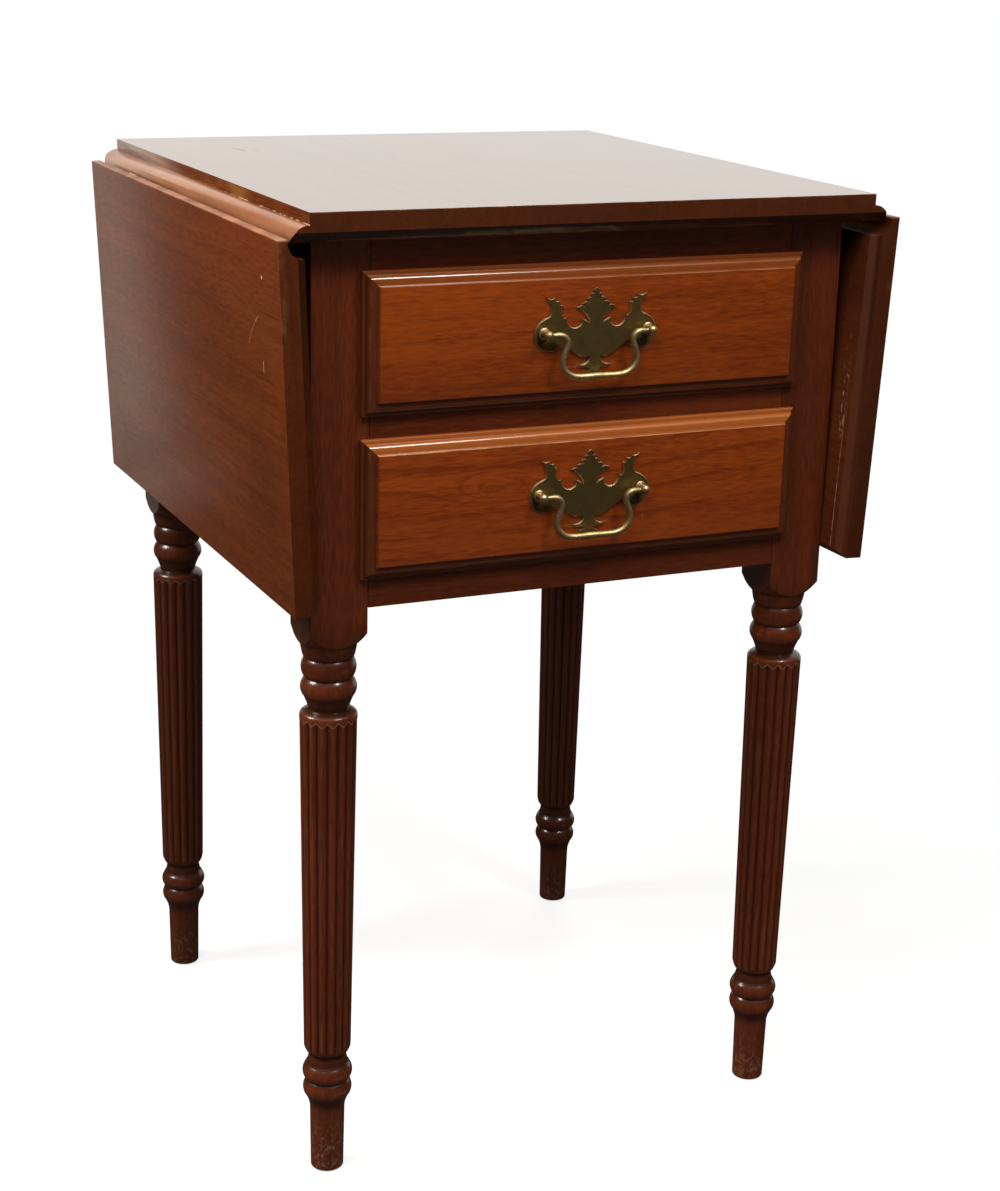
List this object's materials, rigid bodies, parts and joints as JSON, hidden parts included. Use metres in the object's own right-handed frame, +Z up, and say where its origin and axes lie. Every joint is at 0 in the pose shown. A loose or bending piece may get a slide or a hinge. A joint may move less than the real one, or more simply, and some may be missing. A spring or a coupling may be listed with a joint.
{
  "type": "drop leaf side table",
  "caption": "Wooden side table with stacked lipped drawers, drop leaves hinged on a rule joint, batwing brass bail pulls and turned, reeded legs.",
  "frame": {"origin": "floor level under the centre of the table", "axes": "+Z up, -Y towards the drawer fronts, +X to the right as seen from the front"},
  "size_m": [0.4488, 0.439, 0.686],
  "materials": {
    "case_wood": "dark red brown lacquer",
    "top_wood": "red brown gloss lacquer",
    "front_wood": "orange brown lacquer",
    "pale_wood": "bare pale wood",
    "brass": "aged brass",
    "steel": "dull steel"
  },
  "bodies": {
    "case": {"back_panel": "case_wood", "front_bottom_rail": "case_wood", "front_middle_rail": "case_wood", "front_top_rail": "case_wood", "hinge_back_left_pin": "steel", "hinge_back_left_top_plate": "brass", "hinge_back_right_pin": "steel", "hinge_back_right_top_plate": "brass", "hinge_front_left_pin": "steel", "hinge_front_left_top_plate": "brass", "hinge_front_right_pin": "steel", "hinge_front_right_top_plate": "brass", "leaf_support_left": "pale_wood", "leaf_support_right": "pale_wood", "leg_back_left": "case_wood", "leg_back_right": "case_wood", "leg_front_left": "case_wood", "leg_front_right": "case_wood", "runner_lower_left": "pale_wood", "runner_lower_right": "pale_wood", "runner_upper_left": "pale_wood", "runner_upper_right": "pale_wood", "side_panel_left": "case_wood", "side_panel_right": "case_wood", "top_board": "top_wood", "top_cleat_left": "pale_wood", "top_cleat_right": "pale_wood", "top_screw_back_left": "steel", "top_screw_back_right": "steel", "top_screw_front_left": "steel", "top_screw_front_right": "steel"},
    "left_leaf": {"hinge_back_left_leaf_plate": "brass", "hinge_front_left_leaf_plate": "brass", "leaf_left": "top_wood"},
    "right_leaf": {"hinge_back_right_leaf_plate": "brass", "hinge_front_right_leaf_plate": "brass", "leaf_right": "top_wood"},
    "upper_drawer": {"upper_drawer_back": "pale_wood", "upper_drawer_bottom": "pale_wood", "upper_drawer_front": "front_wood", "upper_drawer_pull_nut_left": "brass", "upper_drawer_pull_nut_right": "brass", "upper_drawer_pull_plate": "brass", "upper_drawer_pull_post_left": "brass", "upper_drawer_pull_post_right": "brass", "upper_drawer_side_left": "pale_wood", "upper_drawer_side_right": "pale_wood"},
    "lower_drawer": {"lower_drawer_back": "pale_wood", "lower_drawer_bottom": "pale_wood", "lower_drawer_front": "front_wood", "lower_drawer_pull_nut_left": "brass", "lower_drawer_pull_nut_right": "brass", "lower_drawer_pull_plate": "brass", "lower_drawer_pull_post_left": "brass", "lower_drawer_pull_post_right": "brass", "lower_drawer_side_left": "pale_wood", "lower_drawer_side_right": "pale_wood"},
    "upper_bail": {"upper_drawer_pull_bail": "brass"},
    "lower_bail": {"lower_drawer_pull_bail": "brass"}
  },
  "joints": [
    {"name": "left_leaf_hinge", "type": "hinge", "parent": "case", "child": "left_leaf", "pos_m": [-0.2065, 0, 0.6682], "axis": [0, 1, 0], "range_deg": [0, 92.62]},
    {"name": "right_leaf_hinge", "type": "hinge", "parent": "case", "child": "right_leaf", "pos_m": [0.2065, 0, 0.6682], "axis": [0, -1, 0], "range_deg": [0, 92.62]},
    {"name": "upper_drawer_slide", "type": "slide", "parent": "case", "child": "upper_drawer", "axis": [0, -1, 0], "range_m": [0, 0.27]},
    {"name": "lower_drawer_slide", "type": "slide", "parent": "case", "child": "lower_drawer", "axis": [0, -1, 0], "range_m": [0, 0.27]},
    {"name": "upper_bail_hinge", "type": "hinge", "parent": "upper_drawer", "child": "upper_bail", "pos_m": [0, -0.2147, 0.6007], "axis": [-1, 0, 0], "range_deg": [-9, 188]},
    {"name": "lower_bail_hinge", "type": "hinge", "parent": "lower_drawer", "child": "lower_bail", "pos_m": [0, -0.2147, 0.4917], "axis": [-1, 0, 0], "range_deg": [-9, 188]}
  ]
}
